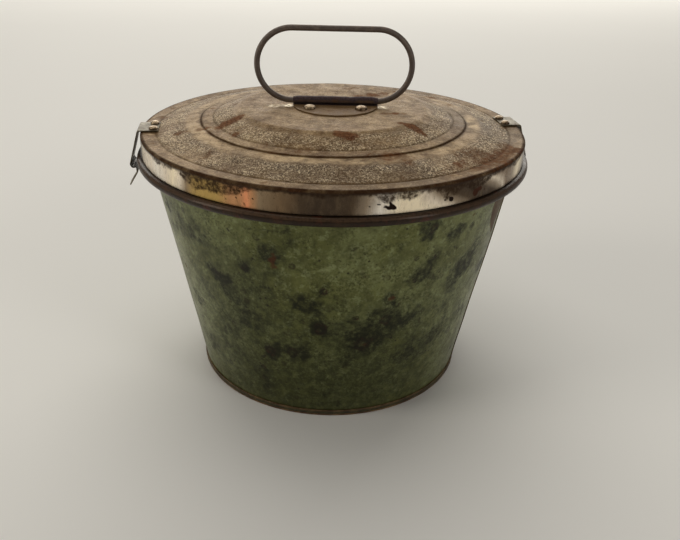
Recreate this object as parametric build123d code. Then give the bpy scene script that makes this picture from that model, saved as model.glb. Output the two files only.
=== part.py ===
from build123d import *
from math import atan2, cos, degrees, radians, sin
import os

# Covered milk pail of tinplate: a tapered body with a wired stop bead, a stepped lid that slips
# over the neck, an oval wire handle on the lid and two spring clips that hook under the bead.
# Millimetres. The origin is the centre of the base, +Z is up, +X is to the right.

# ---- body of the pail
BASE_R = 73.3            # outside of the wall at the floor line
NECK_R = 97.0            # outside of the wall at the mouth
NECK_Z = 131.4           # height of the mouth
WALL = 0.6               # sheet of the wall
HEM_DEPTH = 4.5          # folded hem round the mouth
HEM_GAUGE = 0.55
SEAM_AZ = -16.0          # direction of the folded side seam, degrees from +X
SEAM_WIDTH = 5.0
SEAM_RISE = 0.6
PAN_Z = 3.6              # top of the set-up bottom
PAN_GAUGE = 0.55
FOLD_GAP = 0.05          # air between the wall and the folds that hold it
FOLD_HEIGHT = 3.4        # outer fold of the bottom

# ---- stop bead: a strip rolled round a wire
BEAD_Z = 120.2
BEAD_OUTER_R = 101.8     # furthest out that the bead reaches
BEAD_MINOR = 2.3         # radius of the roll's section
BEAD_GAUGE = 0.4
BEAD_WIRE = 1.75         # radius of the wire inside
BEAD_FLANGE = 4.0        # height of the flange soldered to the wall
BEAD_FOOT = BEAD_Z - BEAD_MINOR

# ---- lid
LID_R = 99.2             # outside of the skirt
LID_GAUGE = 0.5
RIM_Z = 133.1            # top of the flat rim
SKIRT_Z = 122.8          # lower edge of the skirt
TOP_Z = 143.6            # top of the flat centre

# ---- wire handle
WIRE_R = 1.5
LOOP_HALF = 39.5         # half of the loop's width, on the wire's axis
LOOP_BEND = 18.0         # radius of the round ends, on the wire's axis
HINGE_Z = 146.1          # axis of the lower bar

# ---- handle plate
PLATE_GAUGE = 0.7
PLATE_HALF = 22.0        # half of the rolled edge
PLATE_DEPTH = 22.5       # how far the round front reaches
PLATE_SHIFT = 0.8        # the plate sits this much off centre along the handle's bar
CURL_GAP = 0.06          # running clearance round the wire
CURL_SLIT = 0.8          # the roll's free end stops this far above the plate
HANDLE_RIVET_X = 13.1
HANDLE_RIVET_Y = -9.2
HANDLE_HEAD_R = 3.1
HANDLE_HEAD_RISE = 1.8

# ---- spring clips
CLIP_AZ = 7.5            # the clips stand on a line turned this much from X
CLIP_WIDTH = 16.0
CLIP_GAUGE = 0.6
CLIP_HINGE_R = 98.4      # the strip starts to bend here
CLIP_LIFT = 0.35         # air under the riveted end
CLIP_TOP = RIM_Z + CLIP_LIFT + CLIP_GAUGE
CLIP_SPLIT = 0.16        # gap between the riveted end and the free leg
CLIP_SEAT_R = 89.95      # inner end of the riveted part
CLIP_RIVET_R = 92.4
CLIP_RIVET_SPACING = 10.0
CLIP_HEAD_R = 2.35
CLIP_HEAD_RISE = 1.6
TAB_WIDTH = 6.4

SHANK_R = 1.2            # all rivets
SHANK_GAP = 0.05


def wall_radius(z):
    """Outside radius of the tapered wall at a height."""
    return BASE_R + (NECK_R - BASE_R) * z / NECK_Z


def sheet(points, radii, gauge):
    """Section of bent sheet in (r, z): the outline given, and its copy one gauge to the right."""
    turns = []
    shifted = []
    last = len(points) - 1
    for i, (r, z) in enumerate(points):
        before = points[max(i - 1, 0)]
        after = points[min(i + 1, last)]
        heading_in = atan2(z - before[1], r - before[0]) if i > 0 else None
        heading_out = atan2(after[1] - z, after[0] - r) if i < last else heading_in
        heading_in = heading_out if heading_in is None else heading_in
        turn = (degrees(heading_out - heading_in) + 180) % 360 - 180
        turns.append(turn)
        middle = heading_in + radians(turn) / 2
        reach = gauge / cos(radians(turn) / 2)
        shifted.append((r + reach * sin(middle), z - reach * cos(middle)))
    inner_radii = []
    for radius, turn in zip(radii, turns[1:-1]):
        inner_radii.append(max(radius + (gauge if turn > 0 else -gauge), 0.05))
    outside = bent_line(points, radii)
    inside = bent_line(shifted, inner_radii)
    ends = [Line(points[0], shifted[0]), Line(points[-1], shifted[-1])]
    return make_face(Curve() + [outside, inside] + ends)


def bent_line(points, radii):
    """Straight runs joined by arcs."""
    if len(points) == 2:
        return Line(*points)
    return FilletPolyline(*points, radius=radii)


def lathe(section):
    """Full turn of an (r, z) section about the pail's axis."""
    return revolve(Plane.XZ * section, Axis.Z)


def disc(radius, low, high, x=0.0, y=0.0):
    """Upright round bar between two heights."""
    return Pos(x, y, (low + high) / 2) * Cylinder(radius, high - low)


def dome(radius, rise, z):
    """Round head that stands on the height z."""
    ball = (radius ** 2 + rise ** 2) / (2 * rise)
    cap = Pos(0, 0, z + rise - ball) * Sphere(ball)
    return cap & disc(radius, z, z + rise)


def rivet(head_r, head_rise, top, bottom):
    """Domed rivet through sheets that lie between two heights, closed by a low tail below."""
    tail = Rot(180, 0, 0) * dome(head_r * 0.72, head_rise * 0.6, -bottom)
    return dome(head_r, head_rise, top) + disc(SHANK_R, bottom, top) + tail


def rivet_holes(places, low, high):
    """Drills for the rivets' shanks."""
    return [disc(SHANK_R + SHANK_GAP, low, high, x, y) for x, y in places]


def turned(part, azimuth):
    return Rot(0, 0, azimuth) * part


# ---------------------------------------------------------------- body of the pail

def body_wall():
    low = (wall_radius(1.0), 1.0)
    high = (NECK_R, NECK_Z)
    cone = lathe(sheet([high, low], [], WALL))
    hem_low = (wall_radius(NECK_Z - HEM_DEPTH), NECK_Z - HEM_DEPTH)
    hem = lathe(sheet([hem_low, high], [], HEM_GAUGE))
    return cone + hem + side_seam()


def side_seam():
    """Folded seam that stands out from the wall along one line of the taper."""
    low = FOLD_HEIGHT + 0.3
    high = BEAD_FOOT - 0.3
    lean = degrees(atan2(NECK_R - BASE_R, NECK_Z))
    length = (high - low) / cos(radians(lean))
    middle = (low + high) / 2
    strip = Box(SEAM_RISE * 2, SEAM_WIDTH, length)
    strip = fillet(strip.edges().filter_by(Axis.Z).sort_by(Axis.X)[-2:], SEAM_RISE * 0.5)
    strip = Rot(0, lean, 0) * strip
    return turned(Pos(wall_radius(middle) - 0.05, 0, middle) * strip, SEAM_AZ)


def bottom_pan():
    """Set-up bottom: disc, flange down inside the wall, fold out and up round its lower end."""
    inside = wall_radius(PAN_Z) - WALL - FOLD_GAP - 0.75
    outside = wall_radius(FOLD_HEIGHT) + FOLD_GAP + PAN_GAUGE
    flange = inside - PAN_GAUGE
    outline = [(0, PAN_Z), (inside, PAN_Z), (inside, PAN_GAUGE), (outside - PAN_GAUGE, PAN_GAUGE),
               (outside - PAN_GAUGE, FOLD_HEIGHT), (outside, FOLD_HEIGHT), (outside, 0),
               (flange, 0), (flange, PAN_Z - PAN_GAUGE), (0, PAN_Z - PAN_GAUGE)]
    return lathe(make_face(Polyline(*outline, close=True)))


def stop_bead():
    """Strip soldered to the wall by an upright flange, its outer edge rolled round a wire."""
    centre = BEAD_OUTER_R - BEAD_MINOR
    roll = Pos(centre, BEAD_Z) * (Circle(BEAD_MINOR) - Circle(BEAD_MINOR - BEAD_GAUGE))
    slit = Pos(centre - BEAD_MINOR, BEAD_Z + 0.9) * Rectangle(BEAD_MINOR * 1.6, 0.6)
    low = BEAD_FOOT + 0.1
    foot = wall_radius(low) + FOLD_GAP
    head = wall_radius(low + BEAD_FLANGE) + FOLD_GAP
    meet = centre - BEAD_GAUGE
    flange = [(foot, low), (meet, low), (meet, low + BEAD_GAUGE),
              (foot + BEAD_GAUGE, low + BEAD_GAUGE),
              (head + BEAD_GAUGE, low + BEAD_FLANGE), (head, low + BEAD_FLANGE)]
    return lathe(roll - slit) + lathe(make_face(Polyline(*flange, close=True)))


def bead_wire():
    centre = BEAD_OUTER_R - BEAD_MINOR
    return lathe(Pos(centre, BEAD_Z) * Circle(BEAD_WIRE))


# ---------------------------------------------------------------- lid

def lid_cover():
    """Pressed lid: flat centre, two tiers with a small step between them, flat rim, skirt."""
    path = [(0, TOP_Z), (48.0, TOP_Z), (62.4, RIM_Z + 5.5), (68.2, RIM_Z + 4.8),
            (68.8, RIM_Z + 4.2), (76.0, RIM_Z + 3.5), (91.3, RIM_Z), (LID_R, RIM_Z),
            (LID_R, SKIRT_Z)]
    radii = [5.0, 3.0, 0.3, 0.3, 3.0, 1.5, 1.2]
    cover = lathe(sheet(path, radii, LID_GAUGE))
    places = handle_rivet_places()
    for side in (0, 180):
        places = places + clip_rivet_places(side)
    return cover - rivet_holes(places, RIM_Z - 2, TOP_Z + 1)


def handle_rivet_places():
    offsets = (-HANDLE_RIVET_X, HANDLE_RIVET_X)
    return [(PLATE_SHIFT + offset, HANDLE_RIVET_Y) for offset in offsets]


def handle_plate():
    """D-shaped plate lying on the lid, its straight edge rolled round the handle's lower bar."""
    bore = WIRE_R + CURL_GAP
    front = Ellipse(PLATE_HALF, PLATE_DEPTH) & Pos(0, -PLATE_DEPTH / 2) * Rectangle(
        PLATE_HALF * 2, PLATE_DEPTH)
    plate = extrude(Pos(PLATE_SHIFT, 0, TOP_Z) * front, PLATE_GAUGE)
    axis_plane = Plane.YZ.offset(PLATE_SHIFT - PLATE_HALF)
    ring = Pos(0, HINGE_Z) * (Circle(bore + PLATE_GAUGE) - Circle(bore))
    slit_z = TOP_Z + PLATE_GAUGE + CURL_SLIT / 2
    slit = Pos(-bore - PLATE_GAUGE, slit_z) * Rectangle(bore * 2, CURL_SLIT)
    roll = extrude(axis_plane * (ring - slit), PLATE_HALF * 2)
    bore_cut = Pos(PLATE_SHIFT, 0, HINGE_Z) * Rot(0, 90, 0) * Cylinder(bore, PLATE_HALF * 2)
    plate = plate - bore_cut + roll
    return plate - rivet_holes(handle_rivet_places(), TOP_Z - 1, TOP_Z + PLATE_GAUGE + 1)


def handle_rivets():
    top = TOP_Z + PLATE_GAUGE
    one = rivet(HANDLE_HEAD_R, HANDLE_HEAD_RISE, top, TOP_Z - LID_GAUGE)
    return [Pos(x, y, 0) * one for x, y in handle_rivet_places()]


def handle_loop():
    """Oval loop of round wire, upright over the lid in the XZ plane."""
    straight = LOOP_HALF - LOOP_BEND
    bar = Rot(0, 90, 0) * Cylinder(WIRE_R, straight * 2)
    middle = HINGE_Z + LOOP_BEND
    loop = Pos(0, 0, HINGE_Z) * bar + Pos(0, 0, middle + LOOP_BEND) * bar
    ring = Rot(90, 0, 0) * Torus(LOOP_BEND, WIRE_R)
    for side in (-1, 1):
        keep = Pos(side * LOOP_BEND, 0, 0) * Box(LOOP_BEND * 2, WIRE_R * 3, LOOP_BEND * 3)
        loop = loop + Pos(side * straight, 0, middle) * (ring & keep)
    return loop


# ---------------------------------------------------------------- spring clips

def clip_rivet_places(side):
    """Both rivets of one clip; side is 0 for the right clip and 180 for the left one."""
    places = []
    for across in (-CLIP_RIVET_SPACING / 2, CLIP_RIVET_SPACING / 2):
        spot = Vector(CLIP_RIVET_R, across, 0).rotate(Axis.Z, CLIP_AZ + side)
        places.append((spot.X, spot.Y))
    return places


def strip(section, width):
    """Section in (r, z) carried across the strip's width."""
    return extrude(Plane.XZ * section, width / 2, both=True)


def clip_seat(side):
    """Riveted end of the strip, flat over the rim; its inner edge rests on the lid's slope."""
    path = [(CLIP_SEAT_R, CLIP_TOP), (CLIP_HINGE_R - CLIP_SPLIT / 2, CLIP_TOP)]
    seat = turned(strip(sheet(path, [], CLIP_GAUGE), CLIP_WIDTH), CLIP_AZ + side)
    return seat - rivet_holes(clip_rivet_places(side), RIM_Z - 2, CLIP_TOP + 2)


def clip_rivets(side):
    one = rivet(CLIP_HEAD_R, CLIP_HEAD_RISE, CLIP_TOP, RIM_Z - LID_GAUGE)
    return [Pos(x, y, 0) * one for x, y in clip_rivet_places(side)]


def clip_spring(side):
    """Free leg: bends down over the rim, hooks in below the bead, and a tab flares outwards."""
    start = (CLIP_HINGE_R + CLIP_SPLIT / 2, CLIP_TOP)
    leg = [start, (100.35, CLIP_TOP), (105.6, 116.5), (104.6, 114.5), (102.15, 114.8)]
    hook = strip(sheet(leg, [1.3, 1.6, 1.2], CLIP_GAUGE), CLIP_WIDTH)
    tab_path = [(104.0, 115.0), (102.7, 114.5), (102.6, 110.4), (106.9, 103.7)]
    tab = strip(sheet(tab_path, [0.7, 1.8], -CLIP_GAUGE), TAB_WIDTH)
    return turned(hook + tab, CLIP_AZ + side)


# ---------------------------------------------------------------- all pieces, one file each

def build():
    pieces = {
        "body_wall": body_wall(),
        "bottom_pan": bottom_pan(),
        "stop_bead": stop_bead(),
        "bead_wire": bead_wire(),
        "lid_cover": lid_cover(),
        "handle_plate": handle_plate(),
        "handle_rivets": Compound(children=handle_rivets()),
        "handle_loop": handle_loop(),
    }
    for name, side in (("left", 180), ("right", 0)):
        pieces[name + "_clip_seat"] = clip_seat(side)
        pieces[name + "_clip_rivets"] = Compound(children=clip_rivets(side))
        pieces[name + "_clip_spring"] = clip_spring(side)
    return pieces


os.makedirs("parts", exist_ok=True)
for name, piece in build().items():
    export_step(piece, f"parts/{name}.step")
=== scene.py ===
import itertools
import math
import random

import bmesh
import bpy
import numpy as np
from mathutils import Matrix, Vector


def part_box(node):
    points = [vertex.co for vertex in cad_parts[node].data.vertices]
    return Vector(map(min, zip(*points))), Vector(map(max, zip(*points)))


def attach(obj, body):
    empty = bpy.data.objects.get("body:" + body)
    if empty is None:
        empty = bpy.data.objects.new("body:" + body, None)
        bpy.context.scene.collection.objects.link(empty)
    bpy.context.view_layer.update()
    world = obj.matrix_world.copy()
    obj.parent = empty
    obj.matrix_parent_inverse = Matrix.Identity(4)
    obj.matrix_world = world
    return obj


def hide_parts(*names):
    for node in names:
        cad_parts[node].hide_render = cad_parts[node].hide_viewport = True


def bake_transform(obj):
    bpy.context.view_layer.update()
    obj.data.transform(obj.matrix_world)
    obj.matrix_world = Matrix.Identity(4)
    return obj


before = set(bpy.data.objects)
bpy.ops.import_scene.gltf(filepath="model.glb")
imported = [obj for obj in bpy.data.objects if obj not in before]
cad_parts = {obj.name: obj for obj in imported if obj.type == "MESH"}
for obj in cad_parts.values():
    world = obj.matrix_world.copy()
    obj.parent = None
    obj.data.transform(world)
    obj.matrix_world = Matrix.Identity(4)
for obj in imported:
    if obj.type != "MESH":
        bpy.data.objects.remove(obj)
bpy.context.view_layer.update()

MM = 0.001


def box_mm(node):
    """Lowest and highest corner of a CAD node, in millimetres."""
    low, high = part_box(node)
    return low / MM, high / MM


# ------------------------------------------------------------------ driving sizes, millimetres
PAN_HIGH = box_mm("bottom_pan")[1]
BEAD_LOW, BEAD_HIGH = box_mm("stop_bead")
LID_LOW, LID_HIGH = box_mm("lid_cover")
PLATE_LOW, PLATE_HIGH = box_mm("handle_plate")
LOOP_LOW, LOOP_HIGH = box_mm("handle_loop")

WALL_TURNS = 640     # faces round each piece
PAN_TURNS = 480
BEAD_TURNS = 480
LID_TURNS = 720
RIVET_TURNS = 40

WALL = 0.6
HEM = 0.55
HEM_DEPTH = 4.5
NECK_Z = box_mm("body_wall")[1].z
NECK_R = 97.0
BASE_R = 73.3
SEAM_AZ = -16.0
SEAM_WIDTH = 5.0
SEAM_RISE = 0.55
FOLD_R = PAN_HIGH.x
FOLD_TOP = 3.4
PAN_TOP = PAN_HIGH.z
PAN_GAUGE = 0.55

BEAD_MINOR = (BEAD_HIGH.z - BEAD_LOW.z) / 2
BEAD_Z = BEAD_LOW.z + BEAD_MINOR
BEAD_CENTRE_R = BEAD_HIGH.x - BEAD_MINOR
BEAD_GAUGE = 0.4

LID_R = LID_HIGH.x
SKIRT_Z = LID_LOW.z
TOP_Z = LID_HIGH.z
RIM_Z = TOP_Z - 10.5
LID_GAUGE = 0.5
SHOULDER_R = 76.0
STEP_R = 68.5
CREASE_R = 62.4
CENTRE_R = 48.0
FLAT_RIM_R = 91.3
CREASE_Z = RIM_Z + 5.5
STEP_TOP_Z = RIM_Z + 4.8
STEP_FOOT_Z = RIM_Z + 4.2
SHOULDER_Z = RIM_Z + 3.5

WIRE_R = (LOOP_HIGH.y - LOOP_LOW.y) / 2
HINGE_Z = LOOP_LOW.z + WIRE_R
LOOP_HALF = LOOP_HIGH.x - WIRE_R
LOOP_BEND = (LOOP_HIGH.z - LOOP_LOW.z) / 2 - WIRE_R

PLATE_GAUGE = 0.7
PLATE_TOP = TOP_Z + PLATE_GAUGE
PLATE_X = (PLATE_LOW.x + PLATE_HIGH.x) / 2
PLATE_HALF = (PLATE_HIGH.x - PLATE_LOW.x) / 2
PLATE_DEPTH = -PLATE_LOW.y
CURL_R = WIRE_R + 0.06
HANDLE_HEAD = 3.1
HANDLE_HEAD_RISE = 1.8
HANDLE_RIVETS = ((PLATE_X - 13.1, -9.2), (PLATE_X + 13.1, -9.2))
RIVET_SHANK_R = 1.1

CLIP_AZ = 7.5
CLIP_WIDTH = 16.0
CLIP_GAUGE = 0.6
CLIP_TOP = RIM_Z + 0.95
CLIP_SEAT_R = 89.95
CLIP_HINGE_R = 98.4
CLIP_RIVET_R = 92.4
CLIP_RIVET_HALF = 5.0
CLIP_HEAD = 2.35
CLIP_HEAD_RISE = 1.6
TAB_WIDTH = 6.4


def wall_radius(z):
    return BASE_R + (NECK_R - BASE_R) * z / NECK_Z


# ------------------------------------------------------------------ outlines in (r, z)

def rounded(points, radii, step=9.0):
    """Straight runs joined by arcs, as points; step is the arcs' fineness in degrees."""
    out = [Vector(points[0])]
    for i, radius in enumerate(radii, start=1):
        before, corner, after = (Vector(points[k]) for k in (i - 1, i, i + 1))
        to_before = (before - corner).normalized()
        to_after = (after - corner).normalized()
        turn = math.pi - to_before.angle(to_after)
        start = corner + to_before * radius * math.tan(turn / 2)
        centre = corner + (to_before + to_after).normalized() * (radius / math.cos(turn / 2))
        side = 1 if to_before.x * to_after.y - to_before.y * to_after.x < 0 else -1
        count = max(2, math.ceil(math.degrees(turn) / step))
        out += [centre + Matrix.Rotation(side * turn * k / count, 2) @ (start - centre)
                for k in range(count + 1)]
    return out + [Vector(points[-1])]


def divided(points, spacing):
    """The same line with no run longer than the spacing."""
    out = [points[0]]
    for a, b in zip(points, points[1:]):
        parts = max(1, math.ceil((b - a).length / spacing))
        out.extend(a.lerp(b, k / parts) for k in range(1, parts + 1))
    return out


def sheet_outline(points, gauge, every=1):
    """Closed outline of bent sheet: the line, then a copy of it moved to its right, backwards.

    The copy keeps one point in every so many.
    """
    last = len(points) - 1
    moved = []
    for i, p in enumerate(points):
        ahead = (points[min(i + 1, last)] - points[max(i - 1, 0)]).normalized()
        moved.append(p + Vector((ahead.y, -ahead.x)) * gauge)
    return points + moved[:0:-every] + moved[:1]


def arc(centre, radius, start, end, count):
    """Points of an arc in degrees."""
    angles = [math.radians(start + (end - start) * k / count) for k in range(count + 1)]
    return [Vector((centre[0] + radius * math.cos(a), centre[1] + radius * math.sin(a)))
            for a in angles]


# ------------------------------------------------------------------ soft steps and noise

def ease(low, high, value):
    """0 below low, 1 above high, eased between; low may be above high; numbers or arrays."""
    t = np.clip((value - low) / (high - low), 0.0, 1.0)
    return t * t * (3 - 2 * t)


LATTICE = np.random.RandomState(7).uniform(-1.0, 1.0, (32, 32, 32))


def wobble(x, y, z, size, seed=0.0):
    """Soft noise of -1 to 1 whose lumps are about the size given, in millimetres."""
    axes = []
    for axis, shift in ((x, seed), (y, -seed), (z, seed * 0.7)):
        spot = np.asarray(axis, dtype=float) / size + shift
        cell = np.floor(spot).astype(int)
        axes.append((cell, ease(0.0, 1.0, spot - cell)))
    (i, u), (j, v), (k, w) = axes
    total = 0.0
    for a, b, c in itertools.product((0, 1), repeat=3):
        share = (u if a else 1 - u) * (v if b else 1 - v) * (w if c else 1 - w)
        total = total + share * LATTICE[(i + a) & 31, (j + b) & 31, (k + c) & 31]
    return total


# ------------------------------------------------------------------ meshes

def finish_mesh(name, verts, faces, sharp=40.0):
    """Object from millimetre vertices, smooth except where two faces meet at a real edge."""
    mesh = bpy.data.meshes.new(name)
    mesh.from_pydata(np.array([tuple(v) for v in verts]) * MM, [], faces)
    work = bmesh.new()
    work.from_mesh(mesh)
    bmesh.ops.remove_doubles(work, verts=work.verts, dist=1e-7)
    bmesh.ops.recalc_face_normals(work, faces=work.faces)
    loose = [vert for vert in work.verts if not vert.link_faces]
    bmesh.ops.delete(work, geom=loose, context="VERTS")
    for face in work.faces:
        face.smooth = True
    for edge in work.edges:
        edge.smooth = edge.calc_face_angle(0.0) < math.radians(sharp)
    work.to_mesh(mesh)
    work.free()
    piece = bpy.data.objects.new(name, mesh)
    bpy.context.scene.collection.objects.link(piece)
    return piece


def join(name, pieces):
    """One object from several, in the first one's place."""
    with bpy.context.temp_override(active_object=pieces[0], selected_editable_objects=pieces,
                                   selected_objects=pieces):
        bpy.ops.object.join()
    pieces[0].name = name
    pieces[0].data.name = name
    return pieces[0]


def numbered(rows, columns):
    """Vertex numbers of a grid, row by row."""
    return np.arange(rows * columns).reshape(rows, columns)


def woven(grid, closed=False):
    """Faces between the neighbours in a grid whose rows run round, and its columns if closed."""
    beside, above = np.roll(grid, -1, axis=1), np.roll(grid, -1, axis=0)
    quads = np.stack([grid, beside, np.roll(above, -1, axis=1), above], axis=-1)
    if not closed:
        quads = quads[:-1]
    return quads.reshape(-1, 4).tolist()


def sheet_ends(grid):
    """Faces that close the first and last row, each the outline of a bent sheet."""
    return [[row[i], row[i + 1], row[-2 - i], row[-1 - i]] for row in grid[[0, -1]].tolist()
            for i in range(len(row) // 2 - 1)]


def turn_angles(count, fine_at=None, fine_half=3.0, fine_step=0.12):
    """Directions round the axis in radians, with finer ones near one direction."""
    angles = [360.0 * k / count for k in range(count)]
    if fine_at is not None:
        fine_at %= 360.0
        angles = [a for a in angles if abs(a - fine_at) > fine_half]
        steps = int(fine_half / fine_step)
        angles += [fine_at + k * fine_step for k in range(-steps, steps + 1)]
    return [math.radians(a) for a in sorted(angles)]


def lathe(name, outline, angles, closed=True, shape=None, sharp=40.0):
    """Outline in (r, z) turned about the axis; shape(x, y, z, row) may move the vertices."""
    turn = np.array(angles)
    reach = np.array([[p.x] for p in outline])
    x, y = reach * np.cos(turn), reach * np.sin(turn)
    z = np.array([[p.y] for p in outline]) + turn * 0.0
    if shape:
        x, y, z = shape(x, y, z, np.arange(len(outline))[:, None])
    grid = numbered(*x.shape)
    on_axis = reach[:, 0] < 1e-6
    grid[on_axis] = grid[on_axis, :1]
    faces = [list(dict.fromkeys(face)) for face in woven(grid, closed)]
    verts = np.stack([x, y, z], axis=-1).reshape(-1, 3)
    return finish_mesh(name, verts, [face for face in faces if len(face) > 2], sharp)


def tube(name, path, radius, shape, sides=28):
    """Round bar along a closed path in the XZ plane; shape(i, angle) is a factor of its radius."""
    verts = []
    side = Vector((0, 1, 0))
    for i, p in enumerate(path):
        ahead = (path[(i + 1) % len(path)] - path[i - 1]).normalized()
        up = side.cross(ahead).normalized()
        for k in range(sides):
            a = 2 * math.pi * k / sides
            r = radius * shape(i, a)
            verts.append(p + side * (math.sin(a) * r) + up * (math.cos(a) * r))
    return finish_mesh(name, verts, woven(numbered(len(path), sides), closed=True))


def strip(name, outline, width, columns, place, edge=0.12):
    """Closed outline in (r, z) carried across a strip's width, with softened long edges."""
    half = width / 2
    flat = half - edge
    stations = [(-half, edge)]
    stations += [(-flat + 2 * flat * k / (columns - 1), 0.0) for k in range(columns)]
    stations += [(half, edge)]
    verts = []
    for across, shrink in stations:
        for i, p in enumerate(outline):
            ahead = (outline[(i + 1) % len(outline)] - outline[i - 1]).normalized()
            spot = p + Vector((ahead.y, -ahead.x)) * shrink
            verts.append(place(spot.x, across, spot.y))
    grid = numbered(len(stations), len(outline))
    return finish_mesh(name, verts, woven(grid) + sheet_ends(grid), sharp=35.0)


# ------------------------------------------------------------------ masks on the meshes

def turn_between(a, b):
    """Signed difference of two directions in degrees."""
    return (a - b + 180.0) % 360.0 - 180.0


def azimuth(x, y):
    return np.degrees(np.arctan2(y, x))


class Skin:
    """A piece's vertices in millimetres, and the masks that its material reads from them."""

    def __init__(self, piece):
        self.mesh = piece.data
        co = np.empty(len(self.mesh.vertices) * 3)
        self.mesh.vertices.foreach_get("co", co)
        self.x, self.y, self.z = co.reshape(-1, 3).T / MM
        self.r = np.hypot(self.x, self.y)
        self.direction = azimuth(self.x, self.y)

    def wobble(self, size, seed=0.0):
        return wobble(self.x, self.y, self.z, size, seed)

    def warped(self, size, amount, seed):
        """The vertices moved about by noise, so that what is placed on them has no clean outline."""
        return [axis + self.wobble(size, seed + 3.0 * k) * amount
                + self.wobble(size * 0.38, seed + 3.0 * k + 1.0) * amount * 0.45
                for k, axis in enumerate((self.x, self.y, self.z))]

    def store(self, name, values):
        layer = self.mesh.attributes.new(name, "FLOAT", "POINT")
        layer.data.foreach_set("value", np.asarray(values, dtype=np.float32))

    def store_vector(self, name, *columns):
        """Three values for each vertex, as a vector."""
        layer = self.mesh.attributes.new(name, "FLOAT_VECTOR", "POINT")
        layer.data.foreach_set("vector", np.stack(columns, axis=1).astype(np.float32).ravel())


def around(marks, radius_at):
    """Marks by direction, height, size and strength, as places on a surface round the axis."""
    places = []
    for direction, height, size, strength in marks:
        a = math.radians(direction)
        r = radius_at(height)
        places.append((r * math.cos(a), r * math.sin(a), height, size, strength))
    return places


def covered(marks, place, soft, hollow=0.0):
    """How far marks (x, y, z, radius, strength) cover each place.

    soft is the softness of their edge, hollow how much paler their middle is.
    """
    x, y, z = place
    clear = np.ones_like(x)
    for mx, my, mz, radius, strength in marks:
        d = np.sqrt((x - mx) ** 2 + (y - my) ** 2 + (z - mz) ** 2)
        middle = 1 - hollow * ease(radius * 0.8, radius * 0.2, d)
        clear *= 1 - strength * middle * ease(radius * (1 + soft), radius * (1 - soft), d)
    return 1 - clear


def lined(lines, place, half):
    """How far thin lines between pairs of points cover each place."""
    spots = np.stack(place, axis=1)
    cover = np.zeros(len(spots))
    for start, end in lines:
        start = np.array(start)
        along = np.array(end) - start
        t = np.clip((spots - start) @ along / (along @ along), 0, 1)
        d = np.linalg.norm(spots - (start + t[:, None] * along), axis=1)
        cover = np.maximum(cover, ease(half * 1.6, half * 0.5, d))
    return cover


# ------------------------------------------------------------------ body of the pail

# Dark blotches of the paint: direction in degrees, height and radius in millimetres, strength.
FRONT_BLOTCHES = (
    (-107, 97, 6, 0.8), (-116, 88, 4, 0.9), (-130, 82, 4.5, 0.8), (-126, 77, 5, 0.9),
    (-134, 98, 9, 0.65), (-123, 70, 5, 0.7), (-100, 109, 6, 0.45), (-92, 81, 3.5, 0.8),
    (-96, 71, 6.5, 0.85), (-99, 74, 5, 0.5), (-88, 77, 4.5, 0.5), (-118, 58, 8, 0.7),
    (-93, 58, 6, 0.95), (-111, 40, 5, 0.95), (-102, 41, 7, 0.85), (-97, 45, 5, 0.5),
    (-78, 48, 9, 0.8), (-72, 59, 10, 0.7), (-70, 73, 5, 0.7), (-83, 58, 8, 0.6),
    (-62, 111, 6, 0.85), (-52, 104, 5, 0.85), (-45, 104, 3.5, 0.7), (-58, 94, 4, 0.7),
    (-61, 88, 4.5, 0.8), (-64, 83, 3.5, 0.8), (-57, 84, 6, 0.55), (-46, 76, 7, 0.7),
    (-43, 83, 6, 0.7), (-38, 88, 7, 0.6), (-61, 63, 4.5, 0.7), (-67, 61, 6, 0.8),
    (-46, 43, 8, 0.6), (-55, 39, 9, 0.6), (-64, 35, 7, 0.55), (-33, 48, 7, 0.6),
    (-117, 24, 5, 0.8), (-115, 14, 5, 0.7), (-142, 26, 6, 0.7), (-136, 4, 6, 0.6),
    (-89, 12, 9, 0.5), (-144, 98, 6, 0.6), (-145, 54, 6, 0.7), (-128, 46, 6, 0.55),
    (-86, 90, 5, 0.35), (-113, 79, 5, 0.4), (-104, 86, 4, 0.35), (-138, 66, 7, 0.5),
    (-51, 62, 6, 0.45), (-84, 38, 5, 0.45), (-74, 30, 6, 0.35), (-126, 30, 6, 0.45),
)
# Small dark cores, some of them with a reddish heart, and dots scattered between them.
FRONT_CORES = (
    (-93, 58, 3.6, 0.9), (-111, 40, 3.4, 0.9), (-79, 48, 4.6, 0.9), (-92, 81, 1.8, 0.9),
    (-103, 42, 3.4, 0.8), (-72, 62, 3.2, 0.8), (-114, 35, 1.6, 0.9), (-115, 28, 1.8, 0.8),
    (-115, 20, 1.8, 0.8), (-61, 110, 2.6, 0.8), (-58, 94, 1.6, 0.8), (-64, 83, 1.8, 0.9),
    (-45, 105, 1.7, 0.8), (-84, 104, 1.4, 0.7), (-77, 95, 0.9, 0.8), (-81, 90, 1.2, 0.8),
    (-75, 88, 0.8, 0.8), (-65, 96, 1.5, 0.8), (-59, 88, 1.3, 0.8), (-55, 84, 1.2, 0.7),
    (-82, 65, 2.2, 0.8), (-75, 52, 2.0, 0.7), (-107, 74, 1.2, 0.6), (-99, 62, 1.4, 0.6),
    (-88, 30, 1.6, 0.6), (-101, 27, 1.5, 0.6), (-70, 42, 1.8, 0.6), (-50, 95, 1.4, 0.7),
    (-116, 88, 2.2, 0.8), (-128, 80, 2.0, 0.7), (-138, 104, 1.6, 0.6), (-123, 110, 1.2, 0.7),
    (-105, 104, 1.0, 0.6), (-96, 96, 0.8, 0.6), (-72, 15, 1.6, 0.6), (-60, 12, 2.0, 0.5),
)
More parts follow.
